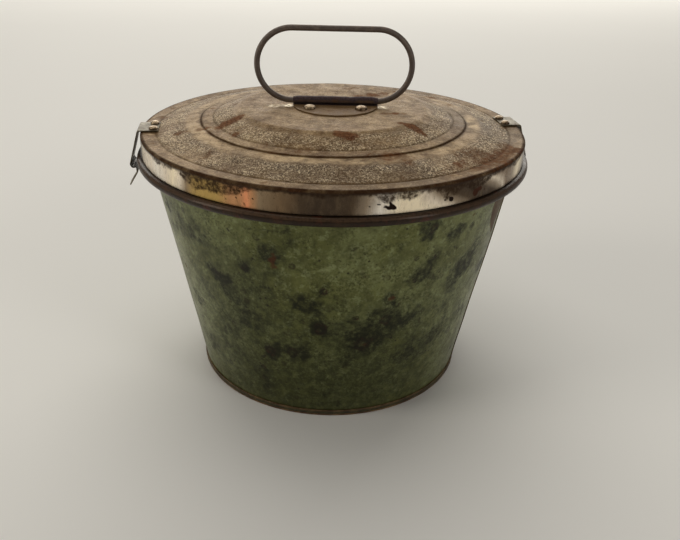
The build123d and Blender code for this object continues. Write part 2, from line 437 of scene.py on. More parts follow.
# Broad darker clouds.
FRONT_CLOUDS = (
    (-128, 92, 20, 0.5), (-122, 64, 22, 0.5), (-92, 62, 20, 0.35), (-76, 56, 24, 0.5),
    (-60, 44, 24, 0.5), (-44, 74, 22, 0.5), (-108, 34, 22, 0.4), (-92, 12, 20, 0.5),
    (-60, 16, 20, 0.4), (-130, 24, 20, 0.45), (-62, 100, 16, 0.35), (-98, 104, 14, 0.3),
    (-126, 60, 26, 0.6), (-112, 66, 17, 0.55), (-100, 30, 24, 0.6), (-80, 26, 24, 0.6),
    (-66, 30, 20, 0.5), (-118, 30, 20, 0.5), (-106, 100, 15, 0.5), (-90, 42, 16, 0.4),
    (-112, 86, 12, 0.4), (-98, 10, 26, 0.4), (-120, 8, 22, 0.4),
)
# Spots of rust.
FRONT_RUST = (
    (-107, 96, 2.2, 0.8), (-106.6, 92.5, 1.8, 0.7), (-106.4, 99, 1.4, 0.6), (-71, 75, 1.8, 0.8),
    (-78, 48, 1.8, 0.5), (-112, 39, 1.4, 0.5), (-45, 111, 1.6, 0.7), (-150, 70, 1.8, 0.7),
    (-96, 70, 1.4, 0.35), (-121, 97, 0.9, 0.6),
)
SCRATCH_ENDS = (  # direction and height at both ends
    ((-127, 72), (-117, 61)), ((-117, 101), (-111, 96)), ((-114, 110), (-98, 112)),
    ((-134, 62), (-124, 48)), ((-88, 92), (-80, 90)), ((-50, 66), (-45, 54)),
    ((-104, 54), (-90, 50)), ((-66, 74), (-58, 64)), ((-120, 40), (-110, 30)),
)
SCRATCH_HALF = 0.42
RUN_AZ = SEAM_AZ - 9.0   # a rusty run down from the bead, RUN_HALF degrees each way at its top
RUN_HALF = 9.0
RUN_FOOT, RUN_TOP = 82.0, 114.0
BACK = (-26, 206)        # where marks are scattered: directions, and heights
HEIGHTS = (8, 110)
SPREAD = (4.5, 6.5)      # of the marks in a group: degrees, millimetres
SEAM_EDGE = 1.7          # degrees from the seam's middle to its rusty edges


def wall_marks(front, seed, groups, most, sizes, strengths):
    """The front's marks, and groups of the same kind scattered over the rest of the wall."""
    draw = random.Random(seed)
    marks = list(front)
    for _ in range(groups):
        direction = draw.uniform(*BACK)
        height = draw.uniform(*HEIGHTS)
        for _ in range(draw.randint(1, most)):
            place = (direction + draw.gauss(0, SPREAD[0]), height + draw.gauss(0, SPREAD[1]))
            marks.append((*place, draw.uniform(*sizes), draw.uniform(*strengths)))
    return around(marks, wall_radius)


BLOTCHES = wall_marks(FRONT_BLOTCHES, 11, 34, 5, (3, 8.5), (0.35, 0.9))
CORES = wall_marks(FRONT_CORES, 12, 26, 3, (0.8, 3.4), (0.6, 0.9))
CLOUDS = wall_marks(FRONT_CLOUDS, 13, 24, 2, (13, 24), (0.35, 0.6))
RUST_SPOTS = wall_marks(FRONT_RUST, 14, 7, 2, (0.8, 2.2), (0.4, 0.9))
SCRATCHES = [[spot[:3] for spot in around([(*end, 0, 0) for end in ends], wall_radius)]
             for ends in SCRATCH_ENDS]


def pushed(x, y, z, push):
    """Points moved away from the axis."""
    r = np.hypot(x, y)
    return x * (1 + push / r), y * (1 + push / r), z


def make_body_wall():
    foot = PAN_GAUGE + 0.25
    hem_z = NECK_Z - HEM_DEPTH
    roll = (WALL + HEM) / 2
    roll_z = NECK_Z - roll
    outer = divided([Vector((wall_radius(z), z)) for z in (foot, hem_z)], 0.9)
    hem = divided([Vector((wall_radius(hem_z) + HEM, hem_z + 0.1)),
                   Vector((NECK_R + HEM - 0.12, roll_z))], 0.9)
    mouth = arc((NECK_R + (HEM - WALL) / 2, roll_z), roll, 0, 180, 8)
    inner = divided([Vector((NECK_R - WALL - 0.1, roll_z)),
                     Vector((wall_radius(foot) - WALL, foot))], 5.0)
    outline = outer + hem + mouth[1:] + inner[1:]

    def shape(x, y, z, row):
        dent = wobble(x, y, z, 42, 3.0) * 0.6 + wobble(x, y, z, 17, 9.0) * 0.25
        dent = dent * 0.5 * ease(2.5, 14.0, z) * ease(117.0, 108.0, z)
        x, y, z = pushed(x, y, z, dent)
        away = np.abs(np.radians(turn_between(azimuth(x, y), SEAM_AZ))) * np.hypot(x, y)
        rise = SEAM_RISE * ease(SEAM_WIDTH / 2 + 0.25, SEAM_WIDTH / 2 - 0.35, away)
        rise = rise * ease(FOLD_TOP, FOLD_TOP + 1.5, z) * (row < len(outer))
        return pushed(x, y, z, rise * ease(BEAD_LOW.z, BEAD_LOW.z - 1.2, z))

    wall = lathe("pail_wall", outline, turn_angles(WALL_TURNS, SEAM_AZ), shape=shape)
    skin = Skin(wall)
    unrolled = np.radians((skin.direction - SEAM_AZ) % 360.0) * NECK_R * MM
    skin.store_vector("unrolled", unrolled, skin.z * MM, unrolled * 0.0)
    inside = skin.r < wall_radius(skin.z) - WALL * 0.75
    skin.store("inside", np.maximum(inside, skin.z > hem_z))
    place = skin.warped(7, 3.2, 1.0)
    skin.store("blotch", covered(BLOTCHES, place, 0.75, 0.25))
    skin.store("core", covered(CORES, skin.warped(3, 1.0, 5.0), 0.4, 0.5))
    skin.store("cloud", covered(CLOUDS, place, 0.9))
    skin.store("scratch", lined(SCRATCHES, skin.warped(9, 1.0, 4.0), SCRATCH_HALF))
    skin.store("rust", wall_rust(skin))
    return wall


def wall_rust(skin):
    """Rust spots, a rusty run down from the bead beside the seam, and the seam's own edges."""
    spots = covered(RUST_SPOTS, skin.warped(3, 0.9, 2.0), 0.6)
    away = np.abs(turn_between(skin.direction, RUN_AZ) + skin.wobble(9, 6.0) * 3)
    half = RUN_HALF * ease(RUN_FOOT, RUN_TOP, skin.z)
    run = ease(half + 2.0, half - 2.0, away) * ease(0.5, 2.0, half)
    edge = ease(1.4, 0.2, np.abs(np.abs(turn_between(skin.direction, SEAM_AZ)) - SEAM_EDGE))
    return np.maximum(np.maximum(spots, run), edge * 0.6)


def make_bottom_pan():
    """Set-up bottom whose outer fold bulges a little, with a rounded lower edge."""
    inside = FOLD_R - 1.9
    slot = FOLD_R - PAN_GAUGE
    upper = [(0, PAN_TOP), (inside, PAN_TOP), (inside, PAN_GAUGE), (slot, PAN_GAUGE),
             (slot - 0.05, FOLD_TOP - 0.1)]
    lower = [(FOLD_R - 0.15, FOLD_TOP), (FOLD_R, 1.7), (FOLD_R - 0.1, 0), (inside - PAN_GAUGE, 0),
             (inside - PAN_GAUGE, PAN_TOP - PAN_GAUGE), (0, PAN_TOP - PAN_GAUGE)]
    outline = (divided(rounded(upper, [0.8, 0.1, 0.1]), 3.0)
               + divided(rounded(lower, [1.5, 0.6, 0.3, 0.3]), 3.0))
    pan = lathe("pail_bottom", outline, turn_angles(PAN_TURNS), closed=False)
    skin = Skin(pan)
    outside = ease(FOLD_R - 0.7, FOLD_R - 0.35, skin.r) * ease(0.05, 0.5, skin.z)
    worn = ease(0.7, 0.1, np.abs(skin.z - 0.75 - skin.wobble(11, 2.0) * 0.35))
    lip = ease(FOLD_TOP - 0.35, FOLD_TOP - 0.1, skin.z)
    skin.store("painted", outside * (1 - 0.95 * np.maximum(worn, lip * 0.6)))
    skin.store("edge", ease(FOLD_R - 3.0, FOLD_R - 1.5, skin.r))
    return pan


def make_stop_bead():
    """Strip rolled round the wire, with its flange down the wall."""
    centre = (BEAD_CENTRE_R, BEAD_Z)
    ledge = BEAD_LOW.z + 0.1
    foot = wall_radius(ledge) + 0.06
    head_z = ledge + 4.0
    head = wall_radius(head_z) + 0.06
    outer = arc(centre, BEAD_MINOR, 150, -96, 30)
    outer += [Vector((foot + 0.5, ledge)), Vector((foot, ledge + 0.35)), Vector((head, head_z))]
    inner = [Vector((head + BEAD_GAUGE, head_z)),
             Vector((foot + BEAD_GAUGE, ledge + BEAD_GAUGE + 0.3)),
             Vector((foot + BEAD_GAUGE + 0.4, ledge + BEAD_GAUGE))]
    inner += arc(centre, BEAD_MINOR - BEAD_GAUGE, -100, 150, 30)

    def shape(x, y, z, row):
        push = wobble(x, y, 0, 30, 4.0) * 0.12 * ease(96.0, 98.0, np.hypot(x, y))
        return pushed(x, y, z + push * 0.6, push)

    bead = lathe("stop_bead_strip", outer + inner, turn_angles(BEAD_TURNS), shape=shape)
    skin = Skin(bead)
    turn = np.degrees(np.arctan2(skin.z - BEAD_Z, skin.r - BEAD_CENTRE_R))
    # the roll's upper face, made lighter: worn tin and a painted highlight
    skin.store("crown", ease(38.0, 12.0, np.abs(turn - 42.0)))
    return bead


# ------------------------------------------------------------------ lid

LID_RUST = (  # x, y, radius and strength on the lid's top
    (24, 25, 7, 0.6), (12, 20, 5, 0.5), (36, 33, 5, 0.6), (44, 36, 4, 0.5),
    (-50, -22, 7, 0.6), (38, -34, 7, 0.5), (6, -53, 7, 0.5), (32, -14, 6, 0.4),
    (-74, -28, 5, 0.6), (-64, -26, 4, 0.6), (24, -69, 6, 0.5), (34, -71, 5, 0.5),
    (61, -66, 9, 0.7), (73, -58, 9, 0.8), (50, -76, 7, 0.5), (83, -42, 6, 0.9),
    (84, -31, 3, 0.7), (88, -37, 4.5, 0.8), (78, -50, 7, 0.8), (66, -48, 5, 0.6),
    (58, -52, 5, 0.5), (26, -63, 4, 0.7), (31, -65, 3.5, 0.5), (-93, 7, 3, 0.6),
    (-65, 16, 4, 0.4), (-36, -57, 5, 0.3), (10, -80, 7, 0.3), (-24, 62, 7, 0.6),
    (18, 78, 6, 0.6), (60, 52, 9, 0.6), (-66, 44, 6, 0.5), (-8, 88, 4, 0.7), (54, 14, 5, 0.4),
)
LID_SPOTS = (  # small clear spots of rust of the same kind
    (2.5, -49.5, 3.0, 0.9), (7, -51, 3.2, 1.0), (10.5, -50.5, 2.0, 0.8), (33, -31, 2.4, 0.8),
    (37, -33.5, 3.4, 1.0), (40.5, -36, 3.2, 1.0), (43, -38.5, 1.8, 0.9), (26, -14, 2.6, 0.6),
    (31, -13.5, 2.6, 0.8), (36, -14, 2.0, 0.6), (13, -20, 2.4, 0.4), (6, 18, 3, 0.5),
    (14, 21, 3.4, 0.7), (21, 24, 4, 0.8), (28, 28, 3.4, 0.7), (-56, -28, 3.0, 0.7),
    (-53, -25.5, 4.0, 1.0), (-49, -23, 3.8, 1.0), (-46, -20.5, 2.0, 0.8), (-46.5, -40, 2.0, 0.8),
    (-50, -38, 1.4, 0.6), (-66, -28, 2.2, 0.6), (-62, -26.5, 2.6, 0.7), (-76, -29, 2.6, 0.7),
    (-73, -27, 1.8, 0.5), (-64.5, 9, 1.6, 0.8), (-61, 6, 1.0, 0.7), (24, -69, 2.6, 0.6),
    (33, -71.5, 2.0, 0.5), (56, -65, 2.8, 0.8), (59, -61, 2.0, 0.6), (74, -49, 2.4, 0.7),
    (79, -44, 2.8, 0.7), (87, -32, 2.0, 0.8), (-90, 7, 2.0, 0.6), (18, 74, 3.0, 0.7),
    (-24, 60, 3.4, 0.7), (-40, 46, 2.2, 0.7), (58, 50, 3.6, 0.8), (66, 36, 2.0, 0.6),
)
# Darker patches on the lid's top; some of them are painted shade on the front slope, the right side
# and the back.
LID_DARK_AND_SHADE = (  # broad darker patches of the same kind
    (10, -84, 18, 0.9), (-30, -58, 14, 0.2), (-14, -82, 14, 0.9), (20, -58, 12, 0.2),
    (36, -80, 14, 0.9), (-40, -76, 13, 0.6), (82, 0, 22, 0.9), (-4, 84, 28, 0.9), (0, -96, 9, 0.4),
    (66, -16, 14, 0.5), (20, 84, 16, 0.6), (62, 6, 14, 0.5),
    (-44, 70, 20, 0.6), (42, 74, 20, 0.6), (86, -24, 12, 0.6), (0, -34, 10, 0.4),
    (56, -40, 16, 0.4), (-50, -70, 14, 0.3), (-84, 10, 12, 0.35), (-30, 20, 18, 0.35),
    (40, 8, 12, 0.4), (70, 20, 16, 0.4), (0, 60, 22, 0.4), (-60, 50, 18, 0.4), (50, 66, 16, 0.4),
    (-48, -18, 12, 0.4), (-12, -40, 9, 0.35), (84, -10, 9, 0.4),
)
BRIGHT_TIN = (  # x, y, z, radius and strength beside the plate
    (PLATE_X - PLATE_HALF - 2.5, -2, TOP_Z, 2.6, 1.0), (-31, -3, TOP_Z, 3.0, 0.6),
    (PLATE_X + PLATE_HALF + 2.0, -2.5, TOP_Z, 2.6, 1.0),
)
TONES = {
    "pale": (236, 222, 202), "cream": (255, 240, 210), "white": (252, 244, 230),
    "grey": (158, 142, 122), "brown": (122, 100, 76), "straw": (186, 156, 94),
    "tan": (196, 146, 104), "copper": (240, 160, 116), "umber": (84, 70, 56),
    "black": (74, 62, 51), "mid": (150, 130, 104),
}
# Tones of the skirt round the lid, by direction in degrees: partly the tin's tarnish, partly painted
# reflections of bright and dark surroundings.
SKIRT_TINTS_AND_REFLECTIONS = (
    (-164, "black"), (-158, "pale"), (-149, "pale"), (-144, "white"), (-139, "pale"),
    (-136, "cream"), (-133, "pale"), (-130, "mid"), (-126.5, "straw"), (-124, "straw"),
    (-119, "straw"), (-115.5, "tan"), (-113, "tan"), (-111, "copper"), (-109.5, "tan"),
    (-107.5, "mid"),
    (-102, "brown"), (-98, "umber"), (-95, "black"), (-88, "black"), (-85, "umber"),
    (-81.5, "grey"), (-78, "white"),
    (-74, "cream"), (-69, "cream"), (-65, "pale"), (-61, "grey"), (-57, "umber"), (-52, "black"),
    (-47, "umber"), (-43, "grey"), (-40, "pale"), (-37, "brown"), (-33, "grey"), (-28, "cream"),
    (-20, "umber"), (-8, "grey"), (4, "pale"), (12, "white"), (20, "mid"), (30, "umber"),
    (42, "black"), (55, "umber"), (64, "cream"), (72, "pale"), (80, "tan"), (90, "straw"),
    (98, "umber"), (110, "black"), (122, "grey"), (132, "cream"), (140, "pale"),
    (150, "brown"), (160, "umber"), (170, "grey"), (178, "pale"), (188, "umber"),
)
SKIRT_LEAN = 1.3     # degrees that the tones lean for each millimetre up, right of the front
SKIRT_MIDDLE = 127.5
# How far dark staining and painted shade reach down from the skirt's top edge: direction,
# millimetres.
SKIRT_STAIN_AND_SHADE = (
    (-150, 1.0), (-144, 3.0), (-138, 2.4), (-135, 0.8), (-131, 4.2), (-127, 6.6), (-122, 6.2),
    (-118, 6.4), (-114, 4.8), (-110, 2.0), (-104, 1.0), (-98, 1.4), (-92, 2.4), (-88, 1.6),
    (-83, 1.0), (-80, 1.6), (-78, 4.4), (-76.5, 5.6), (-74, 3.6), (-71, 4.2), (-67, 1.8),
    (-63, 2.8), (-61, 7.0), (-58, 6.0), (-55, 3.0), (-52, 5.4), (-48, 4.4), (-44, 2.4), (-36, 1.6),
    (-30, 3.0), (-24, 1.0), (0, 0.8), (10, 3.6), (18, 1.0), (50, 0.8), (66, 4.2), (74, 3.0),
    (80, 1.0), (120, 0.8), (134, 4.0), (144, 2.0), (160, 0.8), (176, 4.6), (184, 2.0),
    (200, 0.6),
)
SKIRT_PITS = (  # direction, height, radius, strength
    (-76.0, 125.6, 1.3, 1.0), (-75.0, 125.4, 1.2, 1.0), (-77.2, 126.0, 0.8, 0.9),
    (-75.4, 126.6, 0.8, 1.0), (-75.9, 127.5, 0.5, 0.9), (-77.4, 128.2, 0.5, 0.8),
    (-78.8, 127.4, 0.5, 0.8), (-79.4, 129.0, 0.4, 0.7), (-74.0, 128.6, 0.5, 0.7),
    (-98, 129.2, 0.4, 0.6), (-104, 128.6, 0.4, 0.7), (-107, 126.2, 0.3, 0.7),
    (-114, 126.8, 0.5, 0.9), (-112.6, 128.4, 0.6, 0.8),
    (-120.5, 125.4, 0.5, 0.9), (-123.6, 126.2, 0.4, 0.8), (-117, 124.8, 0.5, 0.8),
    (-81, 126.4, 0.4, 0.9), (-81.8, 128, 0.3, 0.8), (-59.0, 125.7, 1.2, 1.0),
    (-60.8, 125.6, 0.6, 1.0), (-56.6, 126.2, 0.5, 0.9), (-71.5, 129.8, 0.5, 0.7),
    (-109.5, 127.4, 0.5, 1.0), (-138, 127, 0.35, 0.8), (-126, 125.4, 0.35, 0.9),
    (-120, 126.6, 0.4, 0.7), (-66, 127.4, 0.4, 0.7), (36, 126, 1.2, 0.9), (70, 127, 0.9, 1.0),
    (101, 126, 1.0, 0.9), (130, 128, 0.8, 0.9), (168, 127, 1.1, 1.0),
)
SKIRT_RUST = ((-50.5, 125.9, 1.9, 1.0), (-49, 126.6, 1.4, 0.9), (-47, 125.4, 1.0, 0.7),
              (-112, 124.4, 0.9, 0.5), (25, 125, 1.8, 0.9), (88, 126, 1.5, 0.9),
              (120, 125, 1.6, 0.8), (156, 126, 1.4, 0.8))
SKIRT_ROWS = 12      # rows of the lid's outline on the straight part of the skirt


def lid_line():
    """Outside of the lid from the centre to the skirt's edge."""
    points = [(0, TOP_Z), (CENTRE_R, TOP_Z), (CREASE_R, CREASE_Z), (STEP_R - 0.3, STEP_TOP_Z),
              (STEP_R + 0.3, STEP_FOOT_Z), (SHOULDER_R, SHOULDER_Z), (FLAT_RIM_R, RIM_Z),
              (LID_R, RIM_Z), (LID_R, SKIRT_Z)]
    return divided(rounded(points, [5.0, 3.0, 0.25, 0.25, 3.0, 1.5, 1.2]), 0.8)


def groove(r, centre, half, depth):
    """Depth of a pressed line at one radius."""
    return depth * ease(half, 0.0, np.abs(r - centre))


def lid_lift(x, y):
    """How far the lid's top stands above its drawn outline: uneven, raised behind and in front."""
    r = np.hypot(x, y)
    free = ease(30.0, 42.0, r) * ease(92.0, 84.0, r)
    lift = (wobble(x, y, 0, 30, 7.0) * 0.34 + wobble(x, y, 0, 11, 1.0) * 0.12) * free
    lift = lift + 0.9 * ease(14.0, 44.0, y) * ease(62.0, 50.0, r)
    return lift + 0.5 * ease(-40.0, -80.0, y) * ease(60.0, 80.0, r)


def make_lid():
    line = lid_line()

    def shape(x, y, z, row):
        r = np.maximum(np.hypot(x, y), 1.0)
        on_side = z < RIM_Z - 1.0
        push = wobble(x, y, z, 26, 2.0) * 0.12 * on_side / r
        pressed = groove(r, CREASE_R, 0.7, 0.12) + groove(r, FLAT_RIM_R + 0.1, 0.8, 0.14)
        lift = lid_lift(x, y) - pressed * (row < len(line))
        return x * (1 + push), y * (1 + push), z + np.where(on_side, 0.0, lift)

    lid = lathe("lid_sheet", sheet_outline(line, LID_GAUGE, 3), turn_angles(LID_TURNS),
                closed=False, shape=shape)
    skin = Skin(lid)
    drawn = line[:-SKIRT_ROWS]
    top = np.interp(skin.r, [p.x for p in drawn], [p.y for p in drawn])
    top = top + lid_lift(skin.x, skin.y)
    on_side = skin.z < RIM_Z - 0.8
    skin.store("inside", np.where(on_side, skin.r < LID_R - LID_GAUGE * 0.6,
                                  skin.z < top - LID_GAUGE * 0.7))
    skin.store("skirt", ease(RIM_Z - 0.5, RIM_Z - 1.2, skin.z))
    lid_top_masks(skin)
    skirt_masks(skin)
    return lid


def lid_top_masks(skin):
    """Grain of the slopes, painted shade on the slopes, dirt in the creases with painted shade on
    the step and round the lid's edge, darker patches partly painted shade, a painted lighter
    terrace, rust and bright tin.
    """
    x, y, _ = skin.warped(12, 1.2, 3.0)
    r = np.hypot(x, y)
    outer = (ease(SHOULDER_R - 1.0, SHOULDER_R + 3.0, r)
             * ease(FLAT_RIM_R + 1.2, FLAT_RIM_R - 1.8, r))
    inner = ease(CENTRE_R + 2.0, CENTRE_R + 6.0, r) * ease(CREASE_R + 1.6, CREASE_R - 1.9, r)
    skin.store("grain", np.maximum(np.maximum(outer, inner), 0.22))
    soft = skin.wobble(20, 6.0) * 0.7 + 0.75
    shade = 0.5 * ease(7.0, 0.0, np.abs(r - SHOULDER_R - 3.5))
    shade += 0.55 * ease(5.0, 0.0, np.abs(r - CENTRE_R - 4.0))
    skin.store("shade", np.clip(shade * soft, 0, 1))
    # painted shade: a dark line on the step's wall and a dark band round the lid's edge; the crease
    # lines are dirt
    step = 0.9 * ease(0.7, 0.1, np.abs(skin.r - STEP_R - 0.1))
    corner = ease(1.5, 0.5, np.abs(skin.r - LID_R + 0.35)) * (skin.z > RIM_Z - 2.0)
    crease = 0.4 * ease(0.8, 0.1, np.abs(skin.r - CREASE_R))
    crease += 0.5 * ease(0.9, 0.1, np.abs(skin.r - FLAT_RIM_R - 0.1))
    seam = np.maximum(step, corner * 0.9)
    skin.store("dirt_and_shade", np.clip(seam + crease * np.clip(soft + 0.25, 0.3, 1), 0, 1))
    # painted light: the flat terrace between the step and the shoulder is made lighter
    tier = ease(STEP_R + 0.5, STEP_R + 2.0, r) * ease(SHOULDER_R + 1.5, SHOULDER_R - 1.5, r)
    skin.store("worn", tier * np.clip(soft, 0, 1))
    skin.store("bright", covered(BRIGHT_TIN, (skin.x, skin.y, skin.z), 0.5))
    far, near = skin.warped(6, 2.6, 1.5), skin.warped(3.5, 0.9, 8.0)
    for name, marks, (x, y, z), edge in (
            ("patch", LID_DARK_AND_SHADE, far, 0.8), ("top_rust", LID_RUST, far, 0.85),
            ("top_spot", LID_SPOTS, near, 0.45)):
        flat = [(mx, my, 0.0, radius, strength) for mx, my, radius, strength in marks]
        skin.store(name, covered(flat, (x, y, z * 0.0), edge))


def skirt_masks(skin):
    """Tones round the skirt, partly the tin's own and partly painted reflections, with smudges and
    painted shade from the top edge, pits and rust.
    """
    def by_direction(rows, turn):
        return np.interp(turn, [d for d, _ in rows], [value for _, value in rows], period=360.0)

    lean = (skin.z - SKIRT_MIDDLE) * SKIRT_LEAN * ease(-72.0, -60.0, skin.direction)
    turn = skin.direction + lean * ease(-34.0, -44.0, skin.direction) + skin.wobble(14, 5.0) * 1.2
    # tones by direction: tarnish of the tin and painted reflections
    skin.store_vector("tone", *(by_direction([(d, srgb(*TONES[name])[k]) for d, name in SKIRT_TINTS_AND_REFLECTIONS],
                                             turn) for k in range(3)))
    reach = by_direction(SKIRT_STAIN_AND_SHADE, skin.direction)
    # dark stains and painted shade reaching down from the skirt's top edge
    skin.store("smudge_and_shade", ease(1.5, -1.0, RIM_Z - 0.4 - skin.z - reach))
    for name, marks, place, soft in (("pit", SKIRT_PITS, skin.warped(1.4, 0.4, 7.0), 0.35),
                                     ("side_rust", SKIRT_RUST, skin.warped(2.4, 0.8, 2.0), 0.5)):
        skin.store(name, covered(around(marks, lambda z: LID_R), place, soft))


# ------------------------------------------------------------------ handle, plate, rivets

BAR_STEPS = 40
BEND_STEPS = 72


def make_handle():
    """Oval loop: two straight bars joined by half circles."""
    straight = LOOP_HALF - LOOP_BEND
    middle = HINGE_Z + LOOP_BEND
    outline = []
    for side in (1, -1):
        outline += [Vector((side * straight * (2 * k / BAR_STEPS - 1), middle - side * LOOP_BEND))
                    for k in range(BAR_STEPS)]
        outline += arc((side * straight, middle), LOOP_BEND, -90 * side, 180 - 90 * side,
                       BEND_STEPS)[:-1]
    path = [Vector((p.x, 0, p.y)) for p in outline]

    def rough(i, a):
        p = path[i]
        if p.z < HINGE_Z + 1:
            return 0.995
        return 0.99 + 0.012 * wobble(p.x, math.cos(a) * 3, p.z + math.sin(a) * 3, 2.5, 2.0)

    return tube("handle_wire", path, WIRE_R, rough)


def make_curl(steps=64, edge=0.15, tuck=0.12):
    """The plate's straight edge, rolled round the wire: uneven, and drawn in at its ends."""
    outside = CURL_R + PLATE_GAUGE
    hinge = Vector((0, HINGE_Z))
    outer = arc(hinge, outside, -90, 190, 28)
    section = outer + arc(hinge, CURL_R, -90, 190, 28)[::-1]
    flat = PLATE_HALF - edge
    stations = [(-PLATE_HALF, tuck)]
    stations += [(-flat + 2 * flat * k / steps, 0.0) for k in range(steps + 1)]
    stations += [(PLATE_HALF, tuck)]
    verts = []
    for x, pull in stations:
        for i, p in enumerate(section):
            middle = hinge + (p - hinge).normalized() * (CURL_R + PLATE_GAUGE / 2)
            q = p.lerp(middle, pull / (PLATE_GAUGE / 2))
            wave = 0.18 * wobble(x, q.x, q.y, 4.5, 3.0) + 0.1 * wobble(x, q.x, q.y, 1.8, 6.0)
            wave = wave - 0.5 * ease(PLATE_HALF - 3.5, PLATE_HALF, abs(x))
            grow = 1 + wave / outside if i < len(outer) else 1.0
            verts.append((PLATE_X + x, q.x * grow, HINGE_Z + (q.y - HINGE_Z) * grow))
    grid = numbered(len(stations), len(section))
    return finish_mesh("handle_curl", verts, woven(grid) + sheet_ends(grid), 35.0)


def make_plate_sheet():
    """The D-shaped plate: its edge from below upwards, then rings towards the middle."""
    rim = [(PLATE_HALF * p.x, PLATE_DEPTH * p.y) for p in arc((0, 0), 1.0, 180, 360, 96)]
    rim += [(PLATE_HALF - 0.3, 0.9), (-PLATE_HALF + 0.3, 0.9)]
    levels = ((TOP_Z + 0.03, 0.0), (PLATE_TOP - 0.14, 0.0), (PLATE_TOP - 0.04, 0.05),
              (PLATE_TOP, 0.16))
    verts = []
    for z, pull in levels:
        for x, y in rim:
            share = 1 - pull / math.hypot(x, y)
            verts.append((PLATE_X + x * share, y * share, z))
    rings = (0.86, 0.7, 0.5, 0.3, 0.12)
    for share in rings:
        for x, y in rim:
            lift = 0.12 * wobble(x * share, y * share, 0, 9, 2.0) * (1 - share)
            verts.append((PLATE_X + x * share, (y + 8) * share - 8, PLATE_TOP + lift))
    grid = numbered(len(levels) + len(rings), len(rim))
    faces = woven(grid) + [grid[-1].tolist(), grid[0, ::-1].tolist()]
    return finish_mesh("handle_plate_sheet", verts, faces)


def make_rivets(name, places, head, rise, top, bottom):
    """Domed heads with a slightly flattened crown, and a low tail under the sheet."""
    dome = [Vector((0.0, top + rise))]
    for degrees in np.linspace(0, 90, 13)[1:-1]:
        a = math.radians(degrees)
        dome.append(Vector((head * math.sin(a) ** 0.92, top + rise * math.cos(a) ** 0.85)))
    dome.append(Vector((head, top)))
    below = ((head * 0.9, top - 0.05), (RIVET_SHANK_R, top - 0.05), (RIVET_SHANK_R, bottom),
             (head * 0.62, bottom), (head * 0.6, bottom - rise * 0.45),
             (head * 0.4, bottom - rise * 0.6), (0, bottom - rise * 0.62))
    outline = dome + [Vector(p) for p in below]
    pieces = []
    for number, (cx, cy) in enumerate(places):

        def shape(x, y, z, row, cx=cx, cy=cy):
            lump = 1 + 0.035 * wobble(x + cx, y + cy, z, 1.8, 5.0)
            return cx + x * lump, cy + y * lump, z

        pieces.append(lathe(f"{name}_{number}", outline, turn_angles(RIVET_TURNS), closed=False,
                            shape=shape, sharp=50.0))
    rivets = join(name, pieces)
    skin = Skin(rivets)
    away = [np.hypot(skin.x - x, skin.y - y) for x, y in places]
    skin.store("rim", np.minimum(*away) / head)
    return rivets


# ------------------------------------------------------------------ spring clips

def clip_place(side):
    """Turns (r, across, z) of a clip's own frame into the object's frame."""
    a = math.radians(CLIP_AZ + (180 if side == "left" else 0))
    c, s = math.cos(a), math.sin(a)
    return lambda r, across, z: (r * c - across * s, r * s + across * c, z)


def make_clip(side):
    """One strip: riveted end, bend over the rim, leg, hook and thumb tab."""
    path = [(CLIP_SEAT_R, CLIP_TOP), (100.35, CLIP_TOP), (105.6, 116.5), (104.6, 114.5),
            (102.15, 114.8)]
    line = divided(rounded(path, [1.3, 1.6, 1.2]), 0.7)
    place = clip_place(side)
    body = strip(side + "_clip_body", sheet_outline(line, CLIP_GAUGE), CLIP_WIDTH, 12, place)
    tab_path = [(104.0, 115.0), (102.75, 114.4), (102.65, 110.4), (106.9, 103.7)]
    tab_line = divided(rounded(tab_path, [0.7, 1.8]), 0.6)
    tab = strip(side + "_clip_tab", sheet_outline(tab_line, -CLIP_GAUGE)[::-1], TAB_WIDTH, 6,
                place)
    clip = join(side + "_clip_strip", [body, tab])
    skin = Skin(clip)
    skin.store("hook", ease(120.0, 116.5, skin.z) * ease(111.0, 113.6, skin.z))
    return clip


# ------------------------------------------------------------------ material nodes

def srgb(red, green, blue):
    """Linear colour from display values of 0 to 255."""
    def linear(v):
        v /= 255.0
        return v / 12.92 if v <= 0.04045 else ((v + 0.055) / 1.055) ** 2.4
    return (linear(red), linear(green), linear(blue))


class Value:
    """A node's output, which can be added, subtracted, multiplied and stepped."""

    def __init__(self, nodes, socket):
        self.nodes = nodes
        self.socket = socket

    def math(self, operation, other=0.0):
        return self.nodes.add("Math", 0, {0: self, 1: other}, operation=operation)

    def __add__(self, other):
        return self.math("ADD", other)

    def __sub__(self, other):
        return self.math("SUBTRACT", other)

    def __rsub__(self, other):
        return self.nodes.add("Math", 0, {0: other, 1: self}, operation="SUBTRACT")

    def __mul__(self, other):
        return self.math("MULTIPLY", other)

    def step(self, low, high, top=1.0, foot=0.0):
        """Eased step from foot, where the value is low, to top, where it is high."""
        return self.nodes.add("MapRange", "Result", {
            "Value": self, "From Min": low, "From Max": high, "To Min": foot, "To Max": top},
            interpolation_type="SMOOTHSTEP")


